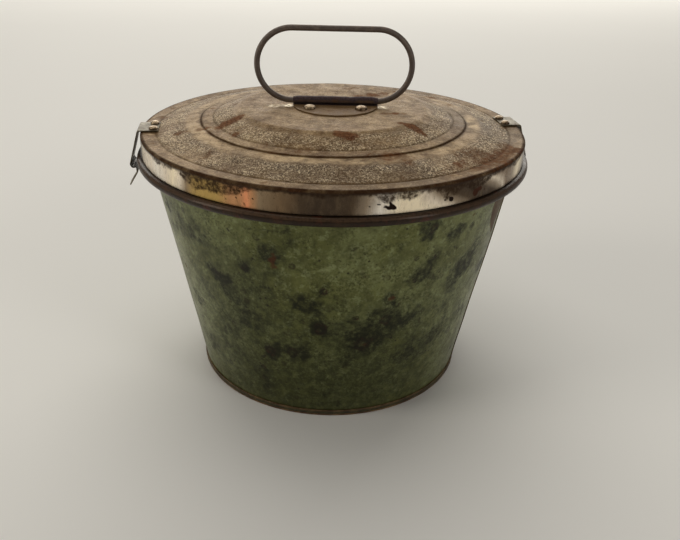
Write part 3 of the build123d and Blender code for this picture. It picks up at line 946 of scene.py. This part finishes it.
class Nodes:
    """A material, and short names for the nodes that it uses.

    Tones are display values of 0 to 255.
    """

    def __init__(self, name):
        self.material = bpy.data.materials.new(name)
        self.material.use_nodes = True
        self.tree = self.material.node_tree
        self.tree.nodes.clear()
        self.place = self.add("TexCoord", "Object")

    def add(self, kind, output=0, sources=None, **settings):
        """A new node's output; each source is a number, a tone or another node's output."""
        node = self.tree.nodes.new("ShaderNode" + kind)
        for name, value in settings.items():
            setattr(node, name, value)
        for key, source in (sources or {}).items():
            socket = node.inputs[key]
            if isinstance(source, Value):
                self.tree.links.new(source.socket, socket)
            elif socket.type == "RGBA":
                socket.default_value = (*srgb(*source), 1.0)
            else:
                socket.default_value = source
        return Value(self, node.outputs[output])

    def attribute(self, name, output="Fac"):
        """A mask stored on the mesh; as Color or Vector where it has three values."""
        return self.add("Attribute", output, attribute_name=name)

    def height(self):
        """Height above the floor at rest, in metres."""
        return self.add("SeparateXYZ", "Z", {0: self.place})

    def stretched(self, scale, vector=None):
        """The place, scaled along each axis."""
        return self.add("VectorMath", 0, {0: vector or self.place, 1: scale},
                        operation="MULTIPLY")

    def turned(self, degrees, vector):
        """The vector turned about Z."""
        return self.add("VectorRotate", 0, {"Vector": vector, "Angle": math.radians(degrees)},
                        rotation_type="Z_AXIS")

    def noise(self, size, detail=3.0, rough=0.55, vector=None, distortion=0.0):
        """Noise whose lumps are about size millimetres."""
        return self.add("TexNoise", "Fac", {
            "Vector": vector or self.place, "Scale": 1 / (size * MM), "Detail": detail,
            "Roughness": rough, "Distortion": distortion})

    def cells(self, size, vector=None):
        """Distance to the nearest of scattered points, about size millimetres apart."""
        return self.add("TexVoronoi", "Distance", {
            "Vector": vector or self.place, "Scale": 1 / (size * MM), "Randomness": 1.0})

    def ragged(self, mask, size, amount, low, high, detail=6):
        """A soft mask whose edge is broken up by noise."""
        shift = (self.noise(size, detail, 0.68) - 0.5) * amount
        return (self.attribute(mask) + shift).step(low, high)

    def most(self, first, *others):
        """The greatest of several values."""
        for value in others:
            first = first.math("MAXIMUM", value)
        return first

    def mix(self, share, a, b):
        """Colour a where share is 0, b where it is 1."""
        return self.add("Mix", 2, {0: share, 6: a, 7: b}, data_type="RGBA")

    def blend(self, share, a, b):
        """Number a where share is 0, b where it is 1."""
        return self.add("Mix", 0, {0: share, 2: a, 3: b}, data_type="FLOAT")

    def layers(self, color, *covers):
        """The colour, with each tone laid over it by its own share."""
        for share, tone in covers:
            color = self.mix(share, color, tone)
        return color

    def bump(self, height, depth, normal=None):
        """Surface relief, on top of another one if given; depth in millimetres."""
        under = {"Normal": normal} if normal else {}
        return self.add("Bump", "Normal", {"Strength": 1.0, "Distance": depth * MM,
                                           "Height": height, **under})

    def surface(self, color, metallic, roughness, normal=None, specular=0.5, coat=0.0):
        """The finished material."""
        relief = {"Normal": normal} if normal else {}
        shader = self.add("BsdfPrincipled", 0, {
            "Base Color": color, "Metallic": metallic, "Roughness": roughness,
            "Specular IOR Level": specular, "Coat Weight": coat, "Coat Roughness": 0.16,
            **relief})
        out = self.tree.nodes.new("ShaderNodeOutputMaterial")
        self.tree.links.new(shader.socket, out.inputs["Surface"])
        return self.material


def sage_paint():
    """Old green paint: mottled, with dark blotches, scratches, pits and rust."""
    n = Nodes("sage_paint")
    inside = n.attribute("inside")
    unrolled = n.attribute("unrolled", "Vector")
    mottle = n.noise(7, 6, 0.66)
    grain = n.noise(1.3, 4, 0.75)
    soot = n.noise(3.2, 8, 0.78)
    uneven = n.noise(10, 5, 0.7).step(0.42, 0.62, 1.0, 0.25)
    stray = n.noise(18, 8, 0.72, None, 0.3).step(0.50, 0.68, 0.75)
    haze = n.most(n.ragged("cloud", 6, 1.5, 0.1, 0.95, 8), stray)
    blotch = n.ragged("blotch", 3.4, 1.7, 0.2, 0.85, 8)
    core = n.ragged("core", 1.1, 0.8, 0.25, 0.8)
    heart = n.mix(n.noise(2.4, 6, 0.7).step(0.46, 0.62), (27, 23, 11), (50, 33, 19))

    round_spots = n.cells(8, n.turned(20, n.place))
    ring = (round_spots - 0.2).math("ABSOLUTE").step(0.09, 0.02)
    ring = n.most(ring, round_spots.step(0.2, 0.1, 0.55))
    ring = ring * n.noise(17, 5, 0.66).step(0.52, 0.6) * soot.step(0.36, 0.5, 0.9, 0.2)

    streaks = n.noise(0.7, 3, 0.6, n.stretched((0.10, 1.0, 1.0), n.turned(-38, unrolled)))
    streaks = streaks.step(0.60, 0.70) * n.noise(22, 3).step(0.42, 0.6)
    cross = n.noise(0.6, 3, 0.6, n.stretched((0.07, 1.0, 1.0), n.turned(4, unrolled)))
    cross = cross.step(0.64, 0.72) * n.noise(26, 3).step(0.5, 0.62)
    scratch = n.most(n.attribute("scratch") * grain.step(0.3, 0.6), n.most(streaks, cross) * 0.6)
    dots = n.cells(2.3).step(0.2, 0.07) * n.noise(9, 4, 0.6).step(0.46, 0.6)
    pepper = n.cells(4.6).step(0.18, 0.09) * n.noise(15, 4, 0.6).step(0.48, 0.58)
    rust = n.ragged("rust", 2.4, 0.8, 0.3, 0.8)
    foot = (n.height() + n.noise(6, 5) * (6 * MM)).step(9 * MM, 3 * MM)

    stain = n.noise(5, 5, 0.7, n.stretched((1, 1, 0.4))).step(0.55, 0.72, 0.8)
    bare = n.mix(n.noise(14, 4, 0.6).step(0.35, 0.7), (150, 146, 134), (104, 96, 82))
    color = n.layers(
        n.mix(n.noise(34, 4, 0.6).step(0.36, 0.64), (104, 107, 57), (122, 127, 80)),
        (mottle.step(0.40, 0.7, 0.7), (72, 74, 36)),
        (n.noise(4, 7, 0.76).step(0.5, 0.66, 0.7), (148, 155, 108)),
        (grain.step(0.46, 0.64, 0.85) * uneven, (56, 57, 26)),
        (grain.step(0.43, 0.28, 0.6) * uneven, (158, 166, 116)),
        (haze * soot.step(0.38, 0.60, 0.88, 0.38), (46, 49, 24)),
        (blotch * soot.step(0.34, 0.56, 0.98, 0.6), (29, 30, 13)),
        (ring * 0.75, (44, 37, 18)),
        (core * 0.92, heart),
        (scratch * 0.7, (34, 34, 16)),
        (n.most(dots, pepper) * 0.85, (36, 30, 20)),
        (rust * 0.8, n.mix(n.noise(1.8, 4, 0.7), (44, 24, 14), (96, 52, 28))),
        (foot * 0.6, (38, 36, 14)),
        (n.height().step(60 * MM, 8 * MM, 0.3), (48, 48, 20)),
        (inside, n.mix(stain, bare, (84, 62, 44))))

    dark = n.most(blotch, core, haze * 0.5)
    rough = n.blend(dark, mottle.step(0.3, 0.7, 0.44, 0.30), 0.56)
    rough = n.blend(rust, rough, 0.85)
    rough = n.blend(inside, rough, mottle.step(0.3, 0.7, 0.5, 0.3))
    worn = grain - n.most(blotch, core, scratch) * 0.6
    relief = n.bump(mottle, 0.22, n.bump(worn, 0.09))
    return n.surface(color, inside * 0.9, rough, relief, 0.12, 0.14)


def lid_tin():
    """Oxidised tin: brown top with crystallised slopes, patches and rust, and painted light and
    shade; brighter skirt, its tones partly painted reflections.
    """
    n = Nodes("lid_tin")
    mottle = n.noise(8, 6, 0.68)
    fine = n.noise(0.55, 2, 0.7)
    sand = n.noise(1.0, 5, 0.74) + (fine - 0.5) * 0.8
    grain = n.attribute("grain") * n.noise(13, 5, 0.66).step(0.34, 0.6, 1.0, 0.3)
    pores = n.noise(0.8, 6, 0.8, n.stretched((0.6, 1, 1)))
    dirt_and_shade = n.attribute("dirt_and_shade") * mottle.step(0.25, 0.6, 1.0, 0.45)
    rust = n.ragged("top_rust", 2.6, 1.5, 0.25, 1.1, 8)
    stray = n.noise(11, 7, 0.72, None, 0.4).step(0.58, 0.72, 0.75)
    spot = n.ragged("top_spot", 1.5, 1.1, 0.25, 0.95, 8)
    bright = n.attribute("bright") * n.noise(2.2, 4, 0.6).step(0.42, 0.56)
    top = n.layers(
        n.mix(n.noise(26, 4, 0.6).step(0.36, 0.64), (122, 94, 60), (148, 122, 86)),
        (mottle.step(0.46, 0.66, 0.75), (92, 66, 40)),
        (n.noise(5, 7, 0.76).step(0.5, 0.66, 0.75), (176, 150, 112)),
        # darker patches, partly painted shade on the lid's front slope, right side and back
        (n.ragged("patch", 6, 1.3, 0.1, 1.0) * 0.68, (78, 57, 34)),
        # painted light: the flat terrace made lighter
        (n.attribute("worn") * mottle.step(0.7, 0.35), (184, 158, 118)),
        (n.ragged("shade", 4, 0.9, 0.05, 1.0) * 0.6, (68, 48, 30)),
        (sand.step(0.51, 0.62) * grain * 0.92, (228, 209, 174)),
        (sand.step(0.47, 0.36) * grain * 0.92, (48, 34, 19)),
        (pores.step(0.5, 0.66, 0.85), (66, 46, 28)),
        (pores.step(0.45, 0.3, 0.75), (199, 180, 145)),
        # dirt in the creases, with painted shade on the step and round the lid's edge
        (dirt_and_shade, (50, 28, 14)),
        (n.most(rust, stray) * 0.8,
         n.mix(n.noise(2.2, 5, 0.75).step(0.3, 0.7), (72, 38, 20), (124, 76, 42))),
        (spot * 0.85, n.mix(n.noise(1.4, 5, 0.75).step(0.36, 0.64), (80, 46, 28), (136, 90, 58))),
        (bright, (240, 224, 190)))

    upright = n.stretched((1, 1, 0.3))
    # dark stains and painted shade hanging from the skirt's top edge
    smudge_and_shade = n.ragged("smudge_and_shade", 3.2, 2.6, 0.3, 1.25, 8)
    dots = n.noise(1.1, 8, 0.8).step(0.60, 0.68) * n.noise(6, 4).step(0.44, 0.6)
    pits = n.most(n.ragged("pit", 0.9, 0.8, 0.35, 0.7), dots * 0.85)
    side_rust = n.ragged("side_rust", 1.4, 0.8, 0.3, 0.8)
    # painted shade: a dark band under the lid's edge at the skirt's top, and a dark line at the
    # skirt's foot above the bead
    lip = (n.height() + n.noise(5, 4) * (1.6 * MM)).step((RIM_Z - 1.3) * MM, (RIM_Z + 0.1) * MM)
    foot = n.height().step((SKIRT_Z + 0.9) * MM, (SKIRT_Z + 0.15) * MM)
    band = n.layers(
        # the skirt's tones: tarnish of the tin, and painted reflections
        n.attribute("tone", "Color"),
        (n.noise(3.4, 6, 0.72, upright).step(0.46, 0.7, 0.36), (120, 102, 80)),
        (n.noise(0.9, 4, 0.7, upright).step(0.56, 0.72, 0.45), (72, 58, 44)),
        (smudge_and_shade * n.noise(1.6, 6, 0.75).step(0.34, 0.56, 0.95, 0.55), (60, 45, 32)),
        (pits, (38, 26, 20)),
        (side_rust * 0.85, (68, 36, 22)),
        # painted shade at the skirt's top and foot
        (n.most(lip, foot * 0.3) * 0.85, (58, 46, 38)))

    skirt = n.attribute("skirt")
    under = n.mix(mottle.step(0.35, 0.7), (146, 140, 126), (100, 90, 74))
    color = n.layers(top, (skirt, band), (n.attribute("inside"), n.mix(stray, under, (88, 62, 42))))

    spoilt = n.most(rust, stray, dirt_and_shade, spot)
    rough = n.blend(spoilt, mottle.step(0.3, 0.7, 0.6, 0.46), 0.85)
    rough = n.blend(bright, rough, 0.3)
    side_rough = n.noise(2.6, 5, 0.7, upright).step(0.35, 0.7, 0.44, 0.24)
    rough = n.blend(skirt, rough, n.blend(n.most(pits, side_rust, smudge_and_shade), side_rough, 0.6))
    metal = n.blend(spoilt, 0.45, 0.05)
    metal = n.blend(skirt, metal, n.blend(n.most(pits, side_rust), 0.9, 0.1))
    sand = sand * (grain + 0.1) * (1.0 - skirt)
    relief = n.bump(n.noise(7, 4), 0.35, n.bump(sand + fine * 0.12, 0.45))
    return n.surface(color, metal, rough, relief, 0.05)


class OldMetal(Nodes):
    """A small part's metal: noise for patches and for a finer grain, by size, detail, roughness."""

    def __init__(self, name, patch, fine):
        super().__init__(name)
        self.patch = self.noise(*patch)
        self.fine = self.noise(*fine)

    def finished(self, color, metallic, rough, depth, specular, coat=0.0, relief=None):
        """rough is the roughness where the patches' noise is low, and where it is high."""
        relief = self.bump(relief or self.fine + self.patch, depth)
        rough = self.patch.step(0.3, 0.7, rough[1], rough[0])
        return self.surface(color, metallic, rough, relief, specular, coat)


def rusty_bead():
    """Painted strip gone brown, with worn grey tin and a painted highlight along the roll's crown.
    """
    n = OldMetal("bead_dark", (9, 5, 0.65), (1.3, 4, 0.7))
    color = n.layers(
        n.mix(n.patch.step(0.4, 0.65), (42, 28, 17), (56, 41, 26)),
        (n.noise(6, 6, 0.7).step(0.52, 0.66, 0.85), (76, 38, 24)),
        # worn grey tin and a painted highlight along the crown
        (n.ragged("crown", 3, 0.9, 0.3, 0.9) * 0.75, (86, 66, 49)),
        (n.fine.step(0.45, 0.7, 0.6), (30, 22, 16)))
    return n.finished(color, 0.25, (0.38, 0.58), 0.2, 0.12, 0.2)


def black_wire():
    """Blackened wire with a brown tinge."""
    n = OldMetal("handle_wire", (6, 5, 0.65), (0.8, 4, 0.7))
    color = n.layers(
        n.mix(n.patch.step(0.4, 0.7), (102, 91, 84), (126, 113, 102)),
        (n.fine.step(0.5, 0.72, 0.6), (82, 60, 48)),
        (n.noise(3, 6, 0.7).step(0.6, 0.72, 0.7), (98, 66, 46)))
    relief = n.fine + n.patch * 0.5
    return n.finished(color, 0.5, (0.38, 0.56), 0.14, 0.5, relief=relief)


def plate_tin():
    """Brown tin, nearly black on the rolled edge."""
    n = OldMetal("plate_tin", (8, 5, 0.62), (1.0, 4, 0.7))
    curl = n.attribute("curl")
    black = n.mix(n.fine.step(0.4, 0.7), (70, 58, 60), (92, 76, 74))
    color = n.layers(
        n.mix(n.patch.step(0.35, 0.65), (104, 80, 52), (124, 100, 70)),
        (n.fine.step(0.46, 0.7, 0.6), (84, 60, 38)),
        (n.noise(4, 6, 0.7).step(0.56, 0.7, 0.7), (96, 58, 36)),
        (curl, n.mix(n.noise(5, 6, 0.7).step(0.54, 0.68, 0.6), black, (92, 54, 34))))
    relief = n.fine + n.noise(3, 5, 0.7) * curl
    return n.finished(color, 0.45, (0.44, 0.6), 0.3, 0.05, relief=relief)


def rivet_tin():
    """Bright worn crowns, darker round the rim."""
    n = OldMetal("rivet_tin", (2.4, 4, 0.6), (0.6, 3, 0.7))
    rim = n.attribute("rim") + (n.patch - 0.5) * 0.9
    color = n.layers(
        n.mix(n.patch.step(0.35, 0.7), (188, 166, 136), (134, 112, 86)),
        (rim.step(0.8, 1.05), (74, 54, 38)),
        (n.fine.step(0.52, 0.72, 0.6), (84, 66, 48)))
    return n.finished(color, 0.75, (0.26, 0.42), 0.14, 0.5)


def clip_tin():
    """Grey tinned strip, darker at the hook."""
    n = OldMetal("clip_tin", (6, 5, 0.62), (0.9, 4, 0.7))
    color = n.layers(
        n.mix(n.patch.step(0.35, 0.7), (118, 109, 88), (88, 78, 60)),
        (n.fine.step(0.48, 0.72, 0.55), (86, 74, 56)),
        (n.noise(3, 6, 0.7).step(0.58, 0.7, 0.6), (92, 62, 42)),
        (n.attribute("hook") * n.patch.step(0.2, 0.6, 0.98, 0.75), (44, 36, 34)))
    return n.finished(color, 0.6, (0.34, 0.52), 0.14, 0.2)


def rusty_bottom():
    """Bottom tin: rusty below and along the fold's edges, dark old paint on the fold's side."""
    n = OldMetal("bottom_tin", (12, 5, 0.65), (1.4, 4, 0.7))
    color = n.layers(
        n.mix(n.patch.step(0.35, 0.65), (128, 118, 100), (100, 82, 62)),
        (n.noise(6, 6, 0.7).step(0.5, 0.66, 0.9), (94, 60, 36)),
        (n.attribute("edge"),
         n.mix(n.noise(7, 5, 0.7).step(0.4, 0.6), (150, 118, 80), (96, 66, 42))),
        (n.attribute("painted") * n.fine.step(0.25, 0.45, 1.0, 0.5),
         n.mix(n.noise(5, 5, 0.7).step(0.4, 0.66), (62, 60, 32), (42, 38, 22))))
    return n.finished(color, 0.25, (0.45, 0.7), 0.2, 0.5)


def plain_iron():
    """Rusty iron of the wire inside the bead."""
    n = OldMetal("iron_wire", (4, 5, 0.65), (1.0, 3, 0.6))
    color = n.mix(n.patch.step(0.4, 0.65), (62, 54, 48), (98, 62, 40))
    return n.finished(color, 0.6, (0.45, 0.7), 0.15, 0.5, relief=n.patch)


# ------------------------------------------------------------------ making it all

def dress(piece, material, slot, body, *nodes):
    """Material, body and the CAD nodes that the piece stands for; slot is not used."""
    piece.data.materials.clear()
    piece.data.materials.append(material)
    if body:
        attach(piece, body)
    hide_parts(*nodes)


def make_pail():
    dress(make_body_wall(), sage_paint(), "sage_paint", "pail", "body_wall")
    dress(make_bottom_pan(), rusty_bottom(), "bottom_tin", "pail", "bottom_pan")
    dress(make_stop_bead(), rusty_bead(), "bead_dark", "pail", "stop_bead")
    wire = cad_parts["bead_wire"]
    wire.data.materials.clear()
    wire.data.materials.append(plain_iron())


def make_lid_group():
    dress(make_lid(), lid_tin(), "lid_tin", "lid", "lid_cover")
    plate = join("handle_plate_rolled", [make_plate_sheet(), make_curl()])
    skin = Skin(plate)
    skin.store("curl", ease(-2.6, -2.0, skin.y))
    dress(plate, plate_tin(), "plate_tin", "lid", "handle_plate")
    heads = rivet_tin()
    rivets = make_rivets("handle_rivet_heads", HANDLE_RIVETS, HANDLE_HEAD, HANDLE_HEAD_RISE,
                         PLATE_TOP, TOP_Z - LID_GAUGE)
    dress(rivets, heads, "rivet_tin", "lid", "handle_rivets")
    dress(make_handle(), black_wire(), "handle_wire", "handle", "handle_loop")
    metal = clip_tin()
    for side in ("left", "right"):
        place = clip_place(side)
        places = [place(CLIP_RIVET_R, across, 0)[:2]
                  for across in (-CLIP_RIVET_HALF, CLIP_RIVET_HALF)]
        rivets = make_rivets(side + "_rivet_heads", places, CLIP_HEAD, CLIP_HEAD_RISE, CLIP_TOP,
                             RIM_Z - LID_GAUGE)
        dress(rivets, heads, "rivet_tin", "lid", side + "_clip_rivets")
        clip = make_clip(side)
        dress(clip, metal, "clip_tin", None, side + "_clip_seat", side + "_clip_spring")
        start, end = (Vector(place(r, 0, CLIP_TOP - CLIP_GAUGE / 2)) * MM
                      for r in (CLIP_HINGE_R - 0.6, CLIP_HINGE_R + 1.0))
        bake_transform(clip)


# ------------------------------------------------------------------ stage, light and camera

FLOOR_HALF = 6.0
FLOOR_TONES = ((241.0, 239.8, 236.1), (244.6, 243.4, 239.8))
LIGHTS = (  # name, width and height, watts, place, linear colour; metres
    ("back_window", (4.4, 1.6), 60.0, (0.0, 2.7, 1.05), (1.0, 0.965, 0.89)),
    ("overhead", (1.6, 1.4), 8.0, (-0.2, 0.4, 1.6), (1.0, 0.97, 0.91)),
    ("left_side", (0.5, 0.8), 4.2, (-1.2, -0.4, 0.62), (1.0, 0.95, 0.86)),
    ("right_side", (0.35, 0.7), 2.4, (0.9, -0.8, 0.56), (1.0, 0.97, 0.93)),
)
LIT_POINT = (0.0, 0.0, 0.1)   # what the lights point at
SKY_COLOR = (1.0, 0.96, 0.89, 1.0)
SKY_STRENGTH = 0.13
EYE = (0.0, -0.374, 0.2377)
PITCH, YAW, ROLL = (math.radians(a) for a in (26.98, 0.81, 1.41))
LENS = 38.14                  # millimetres, on a sensor 36 mm wide


def make_stage():
    mesh = bpy.data.meshes.new("floor")
    corners = [(x * FLOOR_HALF, y * FLOOR_HALF, 0) for x, y in ((-1, -1), (1, -1), (1, 1), (-1, 1))]
    mesh.from_pydata(corners, [], [(0, 1, 2, 3)])
    floor = bpy.data.objects.new("floor", mesh)
    bpy.context.scene.collection.objects.link(floor)
    n = Nodes("floor")
    color = n.mix(n.noise(400, 2), *FLOOR_TONES)
    mesh.materials.append(n.surface(color, 0.0, 0.9, None, 0.2))


def make_lights():
    world = bpy.data.worlds.new("world")
    bpy.context.scene.world = world
    world.use_nodes = True
    back = world.node_tree.nodes["Background"]
    back.inputs["Color"].default_value = SKY_COLOR
    back.inputs["Strength"].default_value = SKY_STRENGTH
    for name, size, power, place, color in LIGHTS:
        data = bpy.data.lights.new(name, "AREA")
        data.shape = "RECTANGLE"
        data.size, data.size_y = size
        data.energy = power
        data.color = color
        light = bpy.data.objects.new(name, data)
        light.location = place
        aim = Vector(LIT_POINT) - Vector(place)
        light.rotation_euler = aim.to_track_quat("-Z", "Y").to_euler()
        light.visible_camera = False
        bpy.context.scene.collection.objects.link(light)


def make_camera():
    """Eye a forearm's length in front, looking down 27 degrees."""
    forward = Vector((math.sin(YAW) * math.cos(PITCH), math.cos(YAW) * math.cos(PITCH),
                      -math.sin(PITCH)))
    level = Vector((math.cos(YAW), -math.sin(YAW), 0.0))
    above = level.cross(forward)
    right = level * math.cos(ROLL) + above * math.sin(ROLL)
    up = above * math.cos(ROLL) - level * math.sin(ROLL)
    data = bpy.data.cameras.new("camera")
    data.sensor_width = 36.0
    data.lens = LENS
    data.clip_start = 0.01
    data.clip_end = 50.0
    camera = bpy.data.objects.new("camera", data)
    turn = Matrix((right, up, -forward)).transposed()
    camera.matrix_world = Matrix.Translation(EYE) @ turn.to_4x4()
    bpy.context.scene.collection.objects.link(camera)
    bpy.context.scene.camera = camera


make_camera()
make_pail()
make_lid_group()
make_stage()
make_lights()
bpy.context.scene.view_settings.view_transform = "Standard"

bpy.context.view_layer.update()
